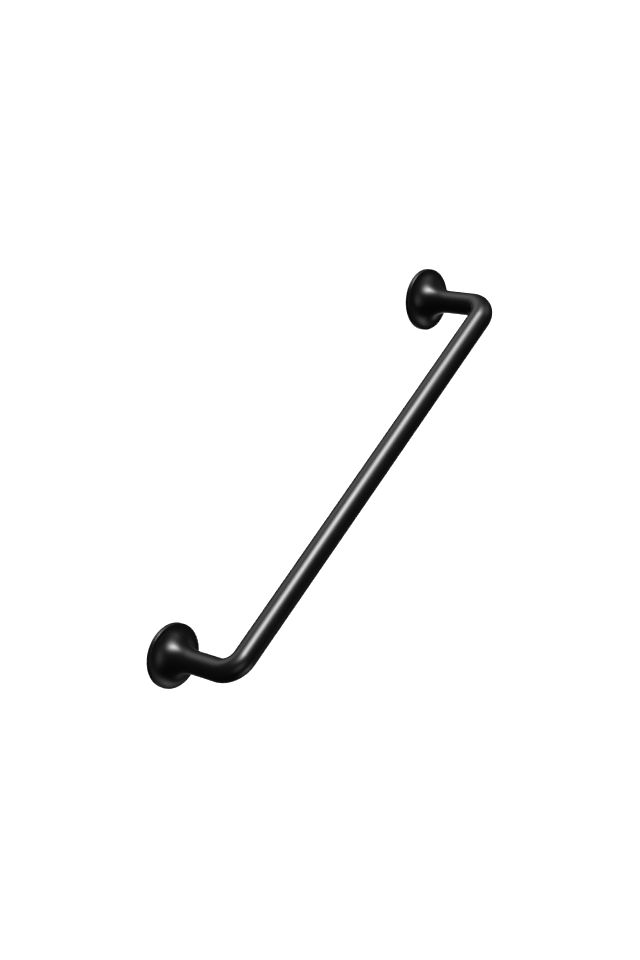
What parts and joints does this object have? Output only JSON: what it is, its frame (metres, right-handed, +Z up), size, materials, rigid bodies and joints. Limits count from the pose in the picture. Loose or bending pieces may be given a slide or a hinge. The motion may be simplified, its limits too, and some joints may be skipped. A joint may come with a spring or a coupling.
{
  "type": "wall-mounted grab bar",
  "caption": "Straight satin black grab bar: one bent tube on a plate at each end, with trumpet-shaped covers that slide back along the legs to reach hidden fixings.",
  "frame": {"origin": "on the wall plane, midway between the axes of the two legs", "axes": "+X along the bar towards the right leg, +Y into the wall, so the bar stands off towards -Y, and +Z up"},
  "size_m": [0.692, 0.122, 0.082],
  "materials": {
    "satin_black": "satin black powder coat, very fine orange peel",
    "bare_steel": "machined, zinc-plated screws and plate",
    "turned_aluminium": "lathe turned",
    "black_rubber": "matt moulded rubber",
    "natural_nylon": "natural nylon, matt"
  },
  "bodies": {
    "bar": {"bar_tube": "satin_black", "left_wall_plate": "bare_steel", "left_wall_gasket": "black_rubber", "left_boss": "turned_aluminium", "left_boss_screw": "bare_steel", "left_grub_screw_1": "bare_steel", "left_grub_screw_2": "bare_steel", "left_grub_screw_3": "bare_steel", "left_snap_ring": "black_rubber", "right_wall_plate": "bare_steel", "right_wall_gasket": "black_rubber", "right_boss": "turned_aluminium", "right_boss_screw": "bare_steel", "right_grub_screw_1": "bare_steel", "right_grub_screw_2": "bare_steel", "right_grub_screw_3": "bare_steel", "right_snap_ring": "black_rubber"},
    "left_cover_set": {"left_cover": "satin_black", "left_guide_ring": "natural_nylon"},
    "right_cover_set": {"right_cover": "satin_black", "right_guide_ring": "natural_nylon"}
  },
  "joints": [
    {"name": "left_cover_slide", "type": "slide", "parent": "bar", "child": "left_cover_set", "axis": [0, -1, 0], "range_m": [0, 0.036]},
    {"name": "right_cover_slide", "type": "slide", "parent": "bar", "child": "right_cover_set", "axis": [0, -1, 0], "range_m": [0, 0.036]}
  ]
}
